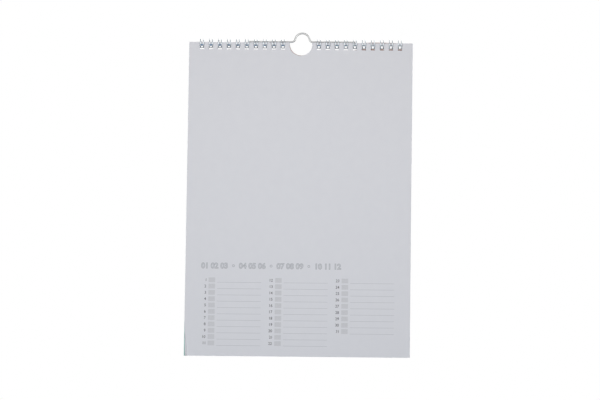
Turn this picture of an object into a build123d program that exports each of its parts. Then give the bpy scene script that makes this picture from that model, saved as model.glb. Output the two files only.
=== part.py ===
"""Wire-bound wall calendar: A4 leaves on two combs of twin wire loops, with a hanger wire at the top.

Sizes are in millimetres. The pieces are drawn about the middle of the leaves' top edge, with X to the
right, Z up and the printed front facing -Y. When they are written out they are moved, so that the
origin lies where a nail carries the hanger's crook.
"""
import os
from math import acos, atan2, ceil, cos, degrees, floor, radians, sin, sqrt

from build123d import *

# Leaves: A4 sheets, one loose at the front, the rest of the year behind it, and a card at the back
sheet_width = 210.0
sheet_height = 297.0
leaf_thickness = 0.25
leaves_behind = 11
leaf_pitch = 0.24
board_thickness = 0.5
sheet_gap = 0.05
front_leaf_back = -2.05

# Twin wire combs: round loops in pairs, three to the inch, each pair closed by a narrow tip
loops_per_inch = 3
inch = 25.4
loop_radius = 3.95
loop_centre_depth = 0.92
wire_radius = 0.43
twin_spacing = 2.7
spine_corner = 1.2
tip_clearance = 0.25
tip_gap = 0.6

# Punched holes: one rounded square for each pair of loops, from near the sides to near the thumb cut
hole_margin = 2.2
hole_corner = 0.4
hole_side_clearance = 0.22
hole_foot_clearance = 1.6
side_land = 7.0
thumb_land = 3.0

# Hanger: a straight wire through the loops, with one crook that stands up over the thumb cut
hanger_length = 100.0
hanger_wire_radius = 0.8
hanger_gap = 0.08
hanger_offset = 1.2
crook_height = 8.3
crook_radius = 6.9
crook_fillet = 3.2

# Thumb cut: part of a circle through every sheet, with room for the crook folded down into it
crook_room = 3.1
thumb_centre_depth = 1.7

# Printed day table: a small box and a writing line for each day, down the columns
print_thickness = 0.05
days = 31
columns = 3
table_left_margin = 21.85
table_right_margin = 14.9
table_foot_margin = 9.75
column_gap = 12.97
row_pitch = 5.93
box_width = 6.15
box_height = 4.45
line_gap = 1.95
line_rise = 0.1
line_height = 0.25

# Places worked out from the sizes above
stack_front = front_leaf_back + sheet_gap
stack_back = stack_front + leaves_behind * leaf_pitch
board_front = stack_back + sheet_gap
board_back = board_front + board_thickness
leaf_front = front_leaf_back - leaf_thickness
loop_pitch = inch / loops_per_inch
hole_width = twin_spacing + 2 * wire_radius + 2 * hole_side_clearance
hole_foot = loop_centre_depth + loop_radius + wire_radius + hole_foot_clearance
hole_height = hole_foot - hole_margin
thumb_radius = crook_radius + hanger_wire_radius + crook_room
first_step = ceil((thumb_radius + thumb_land + hole_width / 2) / loop_pitch)
last_step = floor((sheet_width / 2 - side_land - hole_width / 2) / loop_pitch)
hanger_axis_height = hanger_gap + hanger_wire_radius
crook_centre_height = crook_height - crook_radius
fillet_offset = sqrt((crook_radius + crook_fillet) ** 2 - (crook_fillet - crook_centre_height) ** 2)
nail_seat = Vector(hanger_offset, 0, hanger_axis_height + crook_height - hanger_wire_radius)
column_pitch = (sheet_width - table_left_margin - table_right_margin + column_gap) / columns
line_width = column_pitch - column_gap - box_width - line_gap
rows = ceil(days / columns)


def right_places():
    """X of the holes and loops to the right of the thumb cut, outwards."""
    return [step * loop_pitch for step in range(first_step, last_step + 1)]


def left_places():
    """X of those to the left of it, inwards: the same steps on the other side."""
    return [-x for x in reversed(right_places())]


def sheet(front, back):
    """A flat sheet, or a block of them, from one Y to another, punched and cut as they all are."""
    face = Rectangle(sheet_width, sheet_height, align=(Align.CENTER, Align.MAX))
    hole = RectangleRounded(hole_width, hole_height, hole_corner, align=(Align.CENTER, Align.MAX))
    face -= [Pos(x, -hole_margin) * hole for x in left_places() + right_places()]
    face -= Pos(0, -thumb_centre_depth) * Circle(thumb_radius)
    return extrude(Plane.XZ.offset(-back) * face, back - front)


def on_loop(x, angle, past=0.0):
    """A point of a loop's centre line at an angle above +Y, or so far past it on the tangent."""
    turn = radians(angle)
    y = loop_radius * cos(turn) - past * sin(turn)
    z = loop_radius * sin(turn) + past * cos(turn)
    return Vector(x, y, z - loop_centre_depth)


def loop_ends():
    """Angles at which the round part of a loop starts and ends.

    The tip beyond the end closes just behind the card, and the spine before the start lies next to it.
    """
    tip_y = board_back + tip_clearance + wire_radius
    tip_reach = sqrt(loop_radius ** 2 + (twin_spacing / 2) ** 2)
    tip = 360 - degrees(acos(tip_y / tip_reach))
    spine = tip - 360 + degrees((2 * wire_radius + tip_gap) / tip_reach)
    start = spine + degrees(atan2(spine_corner, loop_radius))
    end = tip - degrees(atan2(twin_spacing / 2, loop_radius))
    return start, end


def loop_pair(x):
    """Edges of one twin loop: up the back, over the top, through the hole, round the tip and back."""
    left = x - twin_spacing / 2
    right = x + twin_spacing / 2
    start, end = loop_ends()
    middle = (start + end) / 2
    return [
        ThreePointArc(on_loop(left, start), on_loop(left, middle), on_loop(left, end)),
        ThreePointArc(on_loop(left, end), on_loop(x, end, twin_spacing / 2), on_loop(right, end)),
        ThreePointArc(on_loop(right, end), on_loop(right, middle), on_loop(right, start)),
    ]


def spine_bend(x):
    """Edges that join the pair at x to the next one: down, across behind the card and up again."""
    left = x + twin_spacing / 2
    right = x + loop_pitch - twin_spacing / 2
    start, _ = loop_ends()
    side = spine_corner * (1 - sqrt(0.5))
    deep = spine_corner * sqrt(0.5)
    across_from = on_loop(left + spine_corner, start, -spine_corner)
    across_to = on_loop(right - spine_corner, start, -spine_corner)
    return [
        ThreePointArc(on_loop(left, start), on_loop(left + side, start, -deep), across_from),
        Line(across_from, across_to),
        ThreePointArc(across_to, on_loop(right - side, start, -deep), on_loop(right, start)),
    ]


def round_wire(edges, radius):
    """A round wire bent along the edges."""
    path = Wire(edges)
    section = Plane(path.position_at(0), z_dir=path.tangent_at(0)) * Circle(radius)
    return sweep(section, path)


def wire_comb(places):
    """One comb: a single wire through all of its loop pairs."""
    edges = []
    for x in places[:-1]:
        edges += loop_pair(x) + spine_bend(x)
    edges += loop_pair(places[-1])
    return round_wire(edges, wire_radius)


def hanger():
    """The hanger wire: two straight arms and a crook of one large and two small arcs."""
    reach = crook_radius / (crook_radius + crook_fillet)
    join_x = fillet_offset * reach
    join_z = crook_centre_height + (crook_fillet - crook_centre_height) * reach
    half_turn = atan2(fillet_offset - join_x, crook_fillet - join_z) / 2
    bend_x = fillet_offset - crook_fillet * sin(half_turn)
    bend_z = crook_fillet - crook_fillet * cos(half_turn)
    left = [
        Line((-hanger_length / 2, 0, 0), (-fillet_offset, 0, 0)),
        ThreePointArc((-fillet_offset, 0, 0), (-bend_x, 0, bend_z), (-join_x, 0, join_z)),
    ]
    crook = [ThreePointArc((-join_x, 0, join_z), (0, 0, crook_height), (join_x, 0, join_z))]
    right = [
        ThreePointArc((join_x, 0, join_z), (bend_x, 0, bend_z), (fillet_offset, 0, 0)),
        Line((fillet_offset, 0, 0), (hanger_length / 2, 0, 0)),
    ]
    return Pos(hanger_offset, 0, hanger_axis_height) * round_wire(left + crook + right, hanger_wire_radius)


def day_corners():
    """Top left corner of each day's box, counted down the columns."""
    left = table_left_margin - sheet_width / 2
    top = table_foot_margin - sheet_height + box_height + (rows - 1) * row_pitch
    places = [divmod(day, rows) for day in range(days)]
    return [(left + column * column_pitch, top - row * row_pitch) for column, row in places]


def printed(width, height, places):
    """Thin flat fields of print on the front leaf, each placed by its top left corner."""
    field = Rectangle(width, height, align=(Align.MIN, Align.MAX))
    fields = Sketch() + [Pos(x, z) * field for x, z in places]
    return extrude(Plane.XZ.offset(-leaf_front) * fields, print_thickness)


def day_boxes():
    return printed(box_width, box_height, day_corners())


def day_lines():
    """Writing lines, about level with the foot of each box and to the right of it."""
    foot = box_height - line_rise
    places = [(x + box_width + line_gap, z - foot) for x, z in day_corners()]
    return printed(line_width, line_height, places)


def all_pieces():
    return {
        "hanger_wire": hanger(),
        "wire_comb_left": wire_comb(left_places()),
        "wire_comb_right": wire_comb(right_places()),
        "front_leaf": sheet(leaf_front, front_leaf_back),
        "leaf_block": sheet(stack_front, stack_back),
        "back_board": sheet(board_front, board_back),
        "day_boxes": day_boxes(),
        "day_lines": day_lines(),
    }


os.makedirs("parts", exist_ok=True)
for name, piece in all_pieces().items():
    export_step(Pos(*(-nail_seat)) * piece, f"parts/{name}.step")
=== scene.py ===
"""Looks of the wire-bound wall calendar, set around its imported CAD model.

Metres and degrees, in the model's own frame: a nail carries the crook at the origin, Z is up and the
print faces -Y.
"""
import random
from math import cos, pi, radians, sin

import bmesh
import bpy
from mathutils import Euler, Matrix, Vector


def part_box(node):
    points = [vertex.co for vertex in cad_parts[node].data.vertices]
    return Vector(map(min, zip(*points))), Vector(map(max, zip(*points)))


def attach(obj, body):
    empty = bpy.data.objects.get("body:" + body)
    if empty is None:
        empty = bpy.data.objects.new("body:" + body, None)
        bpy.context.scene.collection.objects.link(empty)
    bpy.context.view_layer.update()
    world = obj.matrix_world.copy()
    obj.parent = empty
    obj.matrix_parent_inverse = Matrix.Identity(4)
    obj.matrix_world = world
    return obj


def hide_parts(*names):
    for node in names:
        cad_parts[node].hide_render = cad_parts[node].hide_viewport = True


MM = 0.001
WELD = 0.001 * MM
SHARP_FROM = 30

# Camera: a long lens in front of the calendar, looking slightly up at it
PHOTO_WIDTH = 600
LENS_IN_PIXELS = 4000
SENSOR_WIDTH = 36.0
CAMERA_PLACE = (0.1193, -3.6991, -0.7152)
CAMERA_TURN = (98.566, -0.777, 1.732)

# Light: the share of plain white light that matt surfaces get from the white room, how bright it
# looks straight up and down in a gloss, and the floor's own light
ROOM_FILL = 0.13
ROOM_ENDS_FOR_GLOSS = 0.6
FLOOR_LIFT = 0.45
FLOOR_SIZE = 2.4
FLOOR_LEVEL = -1.0

# Leaves behind the front one: their feet step up with depth by a share of it, and the blue ones' tops
# have slipped down, most at the left
LEAVES_BEHIND = 11
LEAF_PITCH = 0.24 * MM
LEAF_THICKNESS = 0.20 * MM
LEAF_DRIFT = 0.10 * MM
LEAF_TWIST = 0.02
LEAF_SEED = 12
FOOT_STEP = 0.16
FOOT_BAND = MM
TOP_SLIP = 0.9 * MM
TOP_BAND = 15 * MM

# Front leaf's lower left corner, bent forward along a line that leaves the edge at a slant
BEND_UP_EDGE = 45 * MM
BEND_ALONG_FOOT = 3.7 * MM
BEND_ANGLE = 0.75
BEND_RADIUS = 1.2 * MM
BEND_STRIPS = 6

# Backing board, whose right part has slipped up a little: how far, and between which places across and
# down it comes in and fades. Its top edge rises less, and only beyond the hanger's end
BOARD_STRIPS = 16
BOARD_RISE = 1.52 * MM
BOARD_RISE_ACROSS = (0.043, 0.057)
BOARD_RISE_DOWN = (0.02, 0.09)
BOARD_EDGE_BAND = MM
BOARD_EDGE_SHARE = 0.68
BOARD_EDGE_START = (0.0505, 0.0565)
BOARD_EDGE_LOSS = 0.4
BOARD_EDGE_FADE = (0.075, 0.100)

# Its thumb cut, out of line too: how far to the right and up, how near to the point of the top edge that
# lies under the nail, and how far down it comes in
BOARD_CUT_SHIFT = (0.30 * MM, 0.76 * MM)
BOARD_CUT_NEAR = (0.0128, 0.0145)
BOARD_CUT_DOWN = (0.0, 0.003)

# Type, in units of its own size: how far its outline spreads, its depth before it is pressed flat, the
# steps along a curve and the weld of its corners
OUTLINE_SPREAD = 0.012
FILLED_SPREAD = 0.008
TYPE_DEPTH = 0.5
TYPE_STEPS = 4
TYPE_WELD = 1e-5

# Day table, counted down the columns
DAYS = 31
TABLE_ROWS = 11
COLUMN_PITCH = 62.07 * MM
ROW_PITCH = 5.93 * MM
BOX_HEIGHT = 4.45 * MM
NUMBER_GAP = 2.15 * MM
NUMBER_HEIGHT = 2.6 * MM
NUMBER_NARROWING = 0.95
PRINT_THICKNESS = 0.05 * MM

# Row of month numbers above the table
MONTH_ROW = "01 02 03  •  04 05 06  •  07 08 09  •  10 11 12"
MONTH_ROW_LEFT = -91.5 * MM
MONTH_ROW_RIGHT = 39.2 * MM
MONTH_ROW_FOOT = -223.7 * MM
MONTH_ROW_HEIGHT = 6.0 * MM
MONTH_OUTLINE = 0.42 * MM


def linear(colour):
    """An sRGB colour of six hex digits as Blender's linear red, green, blue and alpha."""
    parts = [int(colour[i:i + 2], 16) / 255 for i in (0, 2, 4)]
    return [p / 12.92 if p <= 0.04045 else ((p + 0.055) / 1.055) ** 2.4 for p in parts] + [1.0]


def per(size):
    """Scale of a pattern in object space whose features are that many millimetres apart."""
    return 1 / (size * MM)


def add(tree, kind, inputs=None, **settings):
    """Adds a node. Each of its inputs is given a value, or the socket that feeds it."""
    node = tree.nodes.new(kind)
    for name, value in settings.items():
        setattr(node, name, value)
    for name, value in (inputs or {}).items():
        if isinstance(value, bpy.types.NodeSocket):
            tree.links.new(value, node.inputs[name])
        else:
            node.inputs[name].default_value = value
    return node


def material(name):
    """A new material with only its output and a Principled shader, joined up."""
    made = bpy.data.materials.new(name)
    made.use_nodes = True
    tree = made.node_tree
    tree.nodes.clear()
    shader = add(tree, "ShaderNodeBsdfPrincipled")
    add(tree, "ShaderNodeOutputMaterial", {"Surface": shader.outputs["BSDF"]})
    return made, tree, shader


def place_of(tree):
    """A point's place in its own piece, which goes with the piece as it moves."""
    return add(tree, "ShaderNodeTexCoord").outputs["Object"]


def camera():
    """The photograph's view."""
    data = bpy.data.cameras.new("camera")
    data.sensor_width = SENSOR_WIDTH
    data.lens = SENSOR_WIDTH * LENS_IN_PIXELS / PHOTO_WIDTH
    obj = bpy.data.objects.new("camera", data)
    obj.location = CAMERA_PLACE
    obj.rotation_euler = Euler([radians(angle) for angle in CAMERA_TURN])
    bpy.context.scene.collection.objects.link(obj)
    bpy.context.scene.camera = obj


def seen_directly(tree, path):
    """1 where the camera, a gloss or a clear piece looks, and 0 for light on matt surfaces."""
    camera_or_gloss = add(tree, "ShaderNodeMath", {0: path.outputs["Is Camera Ray"],
                                                  1: path.outputs["Is Glossy Ray"]}, operation="MAXIMUM")
    either = add(tree, "ShaderNodeMath", {0: camera_or_gloss.outputs[0],
                                         1: path.outputs["Is Transmission Ray"]}, operation="MAXIMUM")
    return either.outputs[0]


def room(fill):
    """White surroundings that shed only a soft light, and look dimmer above and below in a gloss."""
    world = bpy.data.worlds.new("room")
    world.use_nodes = True
    tree = world.node_tree
    tree.nodes.clear()
    path = add(tree, "ShaderNodeLightPath")
    strength = add(tree, "ShaderNodeMapRange", {"Value": seen_directly(tree, path), "To Min": fill,
                                                "To Max": 1.0})
    towards = add(tree, "ShaderNodeTexCoord").outputs["Generated"]
    direction = add(tree, "ShaderNodeSeparateXYZ", {"Vector": towards})
    steep = add(tree, "ShaderNodeMath", {0: direction.outputs["Z"]}, operation="ABSOLUTE")
    in_gloss = add(tree, "ShaderNodeMath", {0: path.outputs["Is Glossy Ray"], 1: steep.outputs[0]},
                   operation="MULTIPLY")
    dimmed = add(tree, "ShaderNodeMapRange", {"Value": in_gloss.outputs[0], "To Min": 1.0,
                                              "To Max": ROOM_ENDS_FOR_GLOSS})
    both = add(tree, "ShaderNodeMath", {0: strength.outputs[0], 1: dimmed.outputs[0]}, operation="MULTIPLY")
    light = add(tree, "ShaderNodeBackground", {"Color": linear("FFFFFF"), "Strength": both.outputs[0]})
    add(tree, "ShaderNodeOutputWorld", {"Surface": light.outputs[0]})
    bpy.context.scene.world = world


def softbox(name, place, aim, size, share, colour="FFFFFF"):
    """A square lamp that gives a surface facing it, at its aim, that share of the plain level of light."""
    data = bpy.data.lights.new(name, "AREA")
    data.shape = "SQUARE"
    data.size = size
    distance = (Vector(aim) - Vector(place)).length
    # A white matt surface at the aim looks as bright as the power over (pi * distance) squared
    data.energy = share * (pi * distance) ** 2
    data.color = linear(colour)[:3]
    obj = bpy.data.objects.new(name, data)
    obj.location = place
    obj.rotation_euler = (Vector(aim) - Vector(place)).to_track_quat("-Z", "Y").to_euler()
    bpy.context.scene.collection.objects.link(obj)


def lamps():
    """Two soft lamps close beside the camera's view, weaker ones above and below it and one behind."""
    middle = (0, 0, -0.10)
    softbox("lamp_left", (-0.30, -0.76, -0.08), middle, 0.4, 0.435)
    softbox("lamp_right", (0.30, -0.76, -0.08), middle, 0.4, 0.39)
    softbox("lamp_high", (0.0, -0.9, 0.30), middle, 0.35, 0.08, "FFF0F8")
    softbox("lamp_low", (0.0, -0.5, -0.70), middle, 0.3, 0.05, "78C2FF")
    softbox("lamp_behind", (0.3, 1.2, 0.35), middle, 0.7, 0.5)


def floor():
    """A pale floor well below the view, white wherever the calendar's shadow doesn't fall."""
    made, tree, shader = material("matt_floor_paint")
    shader.inputs["Base Color"].default_value = linear("ECECEC")
    shader.inputs["Roughness"].default_value = 0.9
    path = add(tree, "ShaderNodeLightPath")
    lift = add(tree, "ShaderNodeMath", {0: seen_directly(tree, path), 1: FLOOR_LIFT},
               operation="MULTIPLY")
    tree.links.new(lift.outputs[0], shader.inputs["Emission Strength"])
    shader.inputs["Emission Color"].default_value = linear("FFFFFF")
    mesh = bpy.data.meshes.new("floor")
    half = FLOOR_SIZE / 2
    corners = [(x * half, y * half, FLOOR_LEVEL) for x, y in ((-1, -1), (1, -1), (1, 1), (-1, 1))]
    mesh.from_pydata(corners, [], [(0, 1, 2, 3)])
    mesh.materials.append(made)
    obj = bpy.data.objects.new("floor", mesh)
    bpy.context.scene.collection.objects.link(obj)


def printing_paper(name, light, dark):
    """Heavy printing paper with a matt coat: even and pale, faintly cloudy, without gloss."""
    made, tree, shader = material(name)
    place = place_of(tree)
    cloud = add(tree, "ShaderNodeTexNoise", {"Vector": place, "Scale": per(9), "Detail": 4.0,
                                             "Roughness": 0.6})
    tint = add(tree, "ShaderNodeMix", {"Factor": cloud.outputs[0], "A": linear(dark), "B": linear(light)},
               data_type="RGBA")
    # Fibres are some 0.03 mm wide; they are drawn ten times as coarse to show
    fibre = add(tree, "ShaderNodeTexNoise", {"Vector": place, "Scale": per(0.3), "Detail": 2.0})
    relief = add(tree, "ShaderNodeBump", {"Height": fibre.outputs[0], "Strength": 0.25,
                                          "Distance": 0.02 * MM})
    satin = add(tree, "ShaderNodeMapRange", {"Value": cloud.outputs[0], "To Min": 0.62, "To Max": 0.72})
    tree.links.new(tint.outputs["Result"], shader.inputs["Base Color"])
    tree.links.new(relief.outputs[0], shader.inputs["Normal"])
    tree.links.new(satin.outputs[0], shader.inputs["Roughness"])
    shader.inputs["IOR"].default_value = 1.47
    return made


def pulp_board():
    """Reddish brown pulp board, uncoated: dull, with darker fibres and pale flecks."""
    made, tree, shader = material("pulp_board")
    place = place_of(tree)
    pulp = add(tree, "ShaderNodeTexNoise", {"Vector": place, "Scale": per(1.2), "Detail": 6.0,
                                            "Roughness": 0.7})
    tint = add(tree, "ShaderNodeMix", {"Factor": pulp.outputs[0], "A": linear("885A46"),
                                       "B": linear("A4745C")}, data_type="RGBA")
    fleck = add(tree, "ShaderNodeTexNoise", {"Vector": place, "Scale": per(0.8), "Detail": 1.0})
    where = add(tree, "ShaderNodeMapRange", {"Value": fleck.outputs[0], "From Min": 0.66, "From Max": 0.72})
    flecked = add(tree, "ShaderNodeMix", {"Factor": where.outputs[0], "A": tint.outputs["Result"],
                                          "B": linear("B99C8C")}, data_type="RGBA")
    relief = add(tree, "ShaderNodeBump", {"Height": pulp.outputs[0], "Strength": 0.4,
                                          "Distance": 0.05 * MM})
    tree.links.new(flecked.outputs["Result"], shader.inputs["Base Color"])
    tree.links.new(relief.outputs[0], shader.inputs["Normal"])
    shader.inputs["Roughness"].default_value = 0.85
    shader.inputs["IOR"].default_value = 1.47
    return made


def nylon_coated_wire():
    """Steel wire with a silver nylon coat: a soft metallic shine under a thin clear skin."""
    made, tree, shader = material("nylon_coated_wire")
    place = place_of(tree)
    coat = add(tree, "ShaderNodeTexNoise", {"Vector": place, "Scale": per(0.5), "Detail": 2.0})
    tint = add(tree, "ShaderNodeMix", {"Factor": coat.outputs[0], "A": linear("B7BEC3"),
                                       "B": linear("C4CACE")}, data_type="RGBA")
    satin = add(tree, "ShaderNodeMapRange", {"Value": coat.outputs[0], "To Min": 0.26, "To Max": 0.34})
    relief = add(tree, "ShaderNodeBump", {"Height": coat.outputs[0], "Strength": 0.2,
                                          "Distance": 0.01 * MM})
    tree.links.new(tint.outputs["Result"], shader.inputs["Base Color"])
    tree.links.new(satin.outputs[0], shader.inputs["Roughness"])
    tree.links.new(relief.outputs[0], shader.inputs["Normal"])
    shader.inputs["Metallic"].default_value = 0.85
    shader.inputs["Coat Weight"].default_value = 0.3
    shader.inputs["Coat Roughness"].default_value = 0.2
    return made


def zinc_plated_wire():
    """Drawn steel wire with a dull zinc plate: mid grey, with fine lines along the wire."""
    made, tree, shader = material("zinc_plated_wire")
    place = place_of(tree)
    # Lines of the draw plate run along the arms, some 0.1 mm apart; these are 0.4 mm apart to show
    along = add(tree, "ShaderNodeMapping", {"Vector": place, "Scale": (0.05, 1.0, 1.0)})
    drawn = add(tree, "ShaderNodeTexNoise", {"Vector": along.outputs[0], "Scale": per(0.4), "Detail": 2.0})
    tint = add(tree, "ShaderNodeMix", {"Factor": drawn.outputs[0], "A": linear("A2A3A3"),
                                       "B": linear("AEAFAE")}, data_type="RGBA")
    satin = add(tree, "ShaderNodeMapRange", {"Value": drawn.outputs[0], "To Min": 0.44, "To Max": 0.52})
    relief = add(tree, "ShaderNodeBump", {"Height": drawn.outputs[0], "Strength": 0.2,
                                          "Distance": 0.01 * MM})
    tree.links.new(tint.outputs["Result"], shader.inputs["Base Color"])
    tree.links.new(satin.outputs[0], shader.inputs["Roughness"])
    tree.links.new(relief.outputs[0], shader.inputs["Normal"])
    shader.inputs["Metallic"].default_value = 1.0
    return made


def printing_ink(name, light, dark):
    """Offset printing ink, dry and matt, a little uneven where the paper takes it up."""
    made, tree, shader = material(name)
    uptake = add(tree, "ShaderNodeTexNoise", {"Vector": place_of(tree), "Scale": per(0.4), "Detail": 3.0})
    tint = add(tree, "ShaderNodeMix", {"Factor": uptake.outputs[0], "A": linear(dark), "B": linear(light)},
               data_type="RGBA")
    satin = add(tree, "ShaderNodeMapRange", {"Value": uptake.outputs[0], "To Min": 0.5, "To Max": 0.65})
    tree.links.new(tint.outputs["Result"], shader.inputs["Base Color"])
    tree.links.new(satin.outputs[0], shader.inputs["Roughness"])
    shader.inputs["IOR"].default_value = 1.5
    return made


def halftone_tint():
    """A light grey tint printed as a screen of fine dots of black ink on the paper."""
    made, tree, shader = material("halftone_tint")
    # A printer's screen has dots some 0.17 mm apart; these are 0.4 mm apart to show
    parts = add(tree, "ShaderNodeSeparateXYZ", {"Vector": place_of(tree)})
    flat = add(tree, "ShaderNodeCombineXYZ", {"X": parts.outputs["X"], "Y": parts.outputs["Z"]})
    turned = add(tree, "ShaderNodeMapping", {"Vector": flat.outputs[0],
                                             "Rotation": (0.0, 0.0, radians(45))})
    screen = add(tree, "ShaderNodeTexVoronoi", {"Vector": turned.outputs[0], "Scale": per(0.4),
                                                "Randomness": 0.0}, voronoi_dimensions="2D")
    dot = add(tree, "ShaderNodeMapRange", {"Value": screen.outputs["Distance"], "From Min": 0.21,
                                           "From Max": 0.27, "To Min": 1.0, "To Max": 0.0})
    tint = add(tree, "ShaderNodeMix", {"Factor": dot.outputs[0], "A": linear("C6C7CA"),
                                       "B": linear("B0B0B4")}, data_type="RGBA")
    tree.links.new(tint.outputs["Result"], shader.inputs["Base Color"])
    shader.inputs["Roughness"].default_value = 0.62
    shader.inputs["IOR"].default_value = 1.48
    return made


def welded(node):
    """A CAD node's mesh as one closed surface that can be cut and bent."""
    bm = bmesh.new()
    bm.from_mesh(node.data)
    bmesh.ops.remove_doubles(bm, verts=bm.verts, dist=WELD)
    return bm


def piece(name, bm, finish, body, slot, *nodes):
    """The mesh as a new piece that rides on a body and stands for the CAD nodes named."""
    mesh = bpy.data.meshes.new(name)
    bm.to_mesh(mesh)
    bm.free()
    stale_normals = mesh.attributes.get("custom_normal")
    if stale_normals:
        mesh.attributes.remove(stale_normals)
    mesh.shade_smooth()
    mesh.set_sharp_from_angle(angle=radians(SHARP_FROM))
    mesh.materials.append(finish)
    obj = bpy.data.objects.new(name, mesh)
    bpy.context.scene.collection.objects.link(obj)
    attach(obj, body)
    if nodes:
        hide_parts(*nodes)
    return obj


def crease(bm, through, facing):
    """Adds edges where a plane meets the mesh, so that it can bend there."""
    everything = bm.verts[:] + bm.edges[:] + bm.faces[:]
    bmesh.ops.bisect_plane(bm, geom=everything, dist=WELD, plane_co=through, plane_no=facing)


def step_foot(vertex, foot):
    """Lifts a corner at a sheet's foot by a share of its depth behind the calendar's front."""
    if vertex.co.z < foot + FOOT_BAND:
        vertex.co.z += (vertex.co.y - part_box("front_leaf")[0].y) * FOOT_STEP


def slip_top(vertex, low, high):
    """Lowers a corner near a sheet's top, most at the left and not at all at the right."""
    if vertex.co.z > high.z - TOP_BAND:
        vertex.co.z -= TOP_SLIP * (high.x - vertex.co.x) / (high.x - low.x)


def move_into(target, bm):
    """Adds a mesh to another one and lets it go."""
    mesh = bpy.data.meshes.new("moved")
    bm.to_mesh(mesh)
    bm.free()
    target.from_mesh(mesh)
    bpy.data.meshes.remove(mesh)


def bend_corner(bm, low, high):
    """Bends the lower left corner towards the front, round a cylinder that lies on the leaf."""
    edge = Vector((low.x, low.z + BEND_UP_EDGE))
    foot = Vector((low.x + BEND_ALONG_FOOT, low.z))
    line = (foot - edge).normalized()
    outward = Vector((line.y, -line.x))
    normal = Vector((outward.x, 0, outward.y))
    arc = BEND_RADIUS * BEND_ANGLE
    for strip in range(BEND_STRIPS + 1):
        through = Vector((edge.x, 0, edge.y)) + normal * arc * strip / BEND_STRIPS
        crease(bm, through, normal)
    middle = (low.y + high.y) / 2
    for vertex in bm.verts:
        beyond = (Vector((vertex.co.x, vertex.co.z)) - edge).dot(outward)
        if beyond > 0:
            turn = min(beyond, arc) / BEND_RADIUS
            straight = max(beyond - arc, 0)
            layer = BEND_RADIUS + vertex.co.y - middle
            vertex.co += normal * (layer * sin(turn) + straight * cos(turn) - beyond)
            vertex.co.y = middle - BEND_RADIUS + layer * cos(turn) - straight * sin(turn)


def front_leaf(node, paper):
    """The loose front leaf, with its lower left corner bent by use."""
    bm = welded(node)
    bend_corner(bm, *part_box("front_leaf"))
    return piece("printed_leaf", bm, paper, "front", "leaf_paper", "front_leaf")


def leaves_behind(node, looks):
    """The other months' leaves, each a hair out of line: the next one in the first look, the rest in
    the second.
    """
    chance = random.Random(LEAF_SEED)
    low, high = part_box("leaf_block")
    squeeze = LEAF_THICKNESS / (high.y - low.y)
    pivot = Vector(((low.x + high.x) / 2, 0, high.z))
    stacks = [bmesh.new() for look in looks]
    for place in range(LEAVES_BEHIND):
        bm = welded(node)
        for vertex in bm.verts:
            vertex.co.y = low.y + place * LEAF_PITCH + (vertex.co.y - low.y) * squeeze
            step_foot(vertex, low.z)
            if place > 0:
                slip_top(vertex, low, high)
        drift = Vector((chance.uniform(-1, 1), 0, chance.uniform(-1, 0))) * LEAF_DRIFT
        twist = Matrix.Rotation(radians(chance.uniform(-1, 1) * LEAF_TWIST), 4, "Y")
        bm.transform(Matrix.Translation(pivot + drift) @ twist @ Matrix.Translation(-pivot))
        move_into(stacks[min(place, 1)], bm)
    for stack, (name, paper) in zip(stacks, looks):
        piece(name, stack, paper, "calendar", "leaf_paper", "leaf_block")


def smooth_step(value, start, end):
    """0 before start, 1 after end and a smooth rise between."""
    part = min(max((value - start) / (end - start), 0), 1)
    return part * part * (3 - 2 * part)


def backing_board(node, board):
    """The board at the back, which has slipped up a little at the right and at the thumb cut."""
    low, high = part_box("back_board")
    bm = welded(node)
    for strip in range(1, BOARD_STRIPS):
        crease(bm, (low.x + (high.x - low.x) * strip / BOARD_STRIPS, 0, 0), (1, 0, 0))
        crease(bm, (0, 0, high.z - BOARD_RISE_DOWN[1] * strip / BOARD_STRIPS), (0, 0, 1))
    for vertex in bm.verts:
        across, down = vertex.co.x, high.z - vertex.co.z
        share = smooth_step(across, *BOARD_RISE_ACROSS) * (1 - smooth_step(down, *BOARD_RISE_DOWN))
        if down < BOARD_EDGE_BAND:
            share *= BOARD_EDGE_SHARE - BOARD_EDGE_LOSS * smooth_step(across, *BOARD_EDGE_FADE)
            share *= smooth_step(across, *BOARD_EDGE_START)
        near_cut = 1 - smooth_step(Vector((across, down)).length, *BOARD_CUT_NEAR)
        near_cut *= smooth_step(down, *BOARD_CUT_DOWN)
        vertex.co.x += BOARD_CUT_SHIFT[0] * near_cut
        vertex.co.z += BOARD_RISE * share + BOARD_CUT_SHIFT[1] * near_cut
        step_foot(vertex, low.z)
    return piece("backing_board", bm, board, "calendar", "back_card", "back_board")


def lettering(text, outline=0.0):
    """Mesh of a line of plain type in the XZ plane, filled or only outlined, some 1 unit high."""
    curve = bpy.data.curves.new(text, "FONT")
    curve.body = text
    curve.resolution_u = TYPE_STEPS
    if outline:
        curve.fill_mode = "NONE"
        curve.bevel_depth = outline
        curve.bevel_resolution = 0
        curve.offset = OUTLINE_SPREAD
    else:
        curve.extrude = TYPE_DEPTH
        curve.offset = FILLED_SPREAD
    obj = bpy.data.objects.new(text, curve)
    bpy.context.scene.collection.objects.link(obj)
    mesh = bpy.data.meshes.new_from_object(obj)
    bpy.data.objects.remove(obj)
    bpy.data.curves.remove(curve)
    bm = bmesh.new()
    bm.from_mesh(mesh)
    bpy.data.meshes.remove(mesh)
    bmesh.ops.remove_doubles(bm, verts=bm.verts, dist=TYPE_WELD)
    bm.transform(Matrix.Rotation(pi / 2, 4, "X"))
    return bm


def extent(bm):
    """Lowest and highest corner of a mesh."""
    places = [vertex.co for vertex in bm.verts]
    low = Vector([min(p[axis] for p in places) for axis in range(3)])
    high = Vector([max(p[axis] for p in places) for axis in range(3)])
    return low, high


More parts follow.
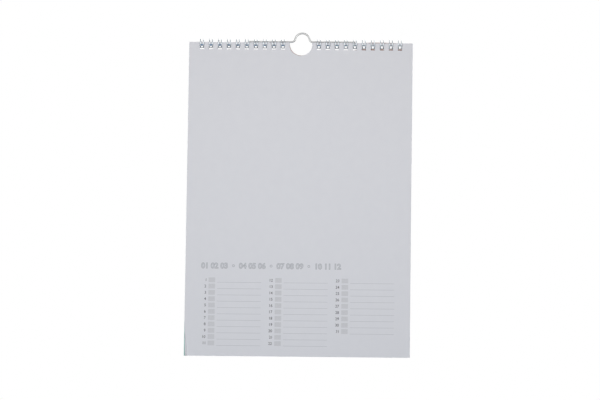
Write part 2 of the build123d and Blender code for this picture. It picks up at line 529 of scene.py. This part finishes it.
def pressed(bm, scale_x, scale_z, anchor, place):
    """Scales print, with a given point of it at a given place, and presses it flat on the front leaf."""
    low, high = extent(bm)
    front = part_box("front_leaf")[0].y
    for vertex in bm.verts:
        share = (vertex.co.y - low.y) / (high.y - low.y)
        x = place.x + (vertex.co.x - anchor.x) * scale_x
        z = place.z + (vertex.co.z - anchor.z) * scale_z
        vertex.co = Vector((x, front - PRINT_THICKNESS * (1 - share), z))


def day_numbers(ink):
    """The days' numbers, each ending just left of its box and level with the box's middle."""
    low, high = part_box("day_boxes")
    scale = None
    everything = bmesh.new()
    for day in range(DAYS):
        column, row = divmod(day, TABLE_ROWS)
        bm = lettering(str(day + 1))
        start, end = extent(bm)
        if scale is None:
            scale = NUMBER_HEIGHT / (end.z - start.z)
        anchor = Vector((end.x, 0, (start.z + end.z) / 2))
        across = low.x + column * COLUMN_PITCH - NUMBER_GAP
        level = high.z - BOX_HEIGHT / 2 - row * ROW_PITCH
        pressed(bm, scale * NUMBER_NARROWING, scale, anchor, Vector((across, 0, level)))
        move_into(everything, bm)
    return piece("day_numbers", everything, ink, "front", "grey_print")


def month_numbers(ink):
    """The row of outlined month numbers above the table."""
    bm = lettering(MONTH_ROW, MONTH_OUTLINE / MONTH_ROW_HEIGHT / 2)
    low, high = extent(bm)
    scale_x = (MONTH_ROW_RIGHT - MONTH_ROW_LEFT) / (high.x - low.x)
    scale_z = MONTH_ROW_HEIGHT / (high.z - low.z)
    pressed(bm, scale_x, scale_z, low, Vector((MONTH_ROW_LEFT, 0, MONTH_ROW_FOOT)))
    return piece("month_numbers", bm, ink, "front", "grey_print")


def finish_node(node, finish):
    """Gives a CAD node that is shown as it is its material."""
    for slot in node.material_slots:
        slot.material = finish


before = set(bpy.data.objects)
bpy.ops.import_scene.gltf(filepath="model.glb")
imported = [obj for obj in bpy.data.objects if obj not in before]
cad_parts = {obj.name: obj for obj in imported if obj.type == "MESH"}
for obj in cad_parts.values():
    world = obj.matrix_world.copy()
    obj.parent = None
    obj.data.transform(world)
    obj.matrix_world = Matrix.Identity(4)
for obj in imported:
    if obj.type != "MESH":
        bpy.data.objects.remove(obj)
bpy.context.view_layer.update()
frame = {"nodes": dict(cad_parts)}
nodes = frame["nodes"]

bpy.context.scene.view_settings.view_transform = "Standard"
camera()
room(ROOM_FILL)
lamps()
floor()

paper = printing_paper("matt_coated_paper", "D4D5D8", "CFD0D4")
green_paper = printing_paper("sea_green_paper", "7AD3BF", "6ECAB6")
# The leaves behind the next one are printed blue, and this blue is made darker than the print: painted
# shade for the walls of the holes and for the sheets seen through the front leaf's holes
blue_paper = printing_paper("blue_paper_with_painted_shade", "628CB4", "5882AB")
wire = nylon_coated_wire()

finish_node(nodes["hanger_wire"], zinc_plated_wire())
finish_node(nodes["wire_comb_left"], wire)
finish_node(nodes["wire_comb_right"], wire)
finish_node(nodes["day_boxes"], halftone_tint())
finish_node(nodes["day_lines"], printing_ink("grey_line_ink", "AFB1B5", "A3A5A9"))

front_leaf(nodes["front_leaf"], paper)
leaves_behind(nodes["leaf_block"], [("sea_green_leaves", green_paper), ("blue_leaves_with_painted_shade", blue_paper)])
backing_board(nodes["back_board"], pulp_board())
day_numbers(printing_ink("black_number_ink", "47484C", "3A3B3F"))
month_numbers(printing_ink("grey_outline_ink", "A4A6AB", "979A9F"))
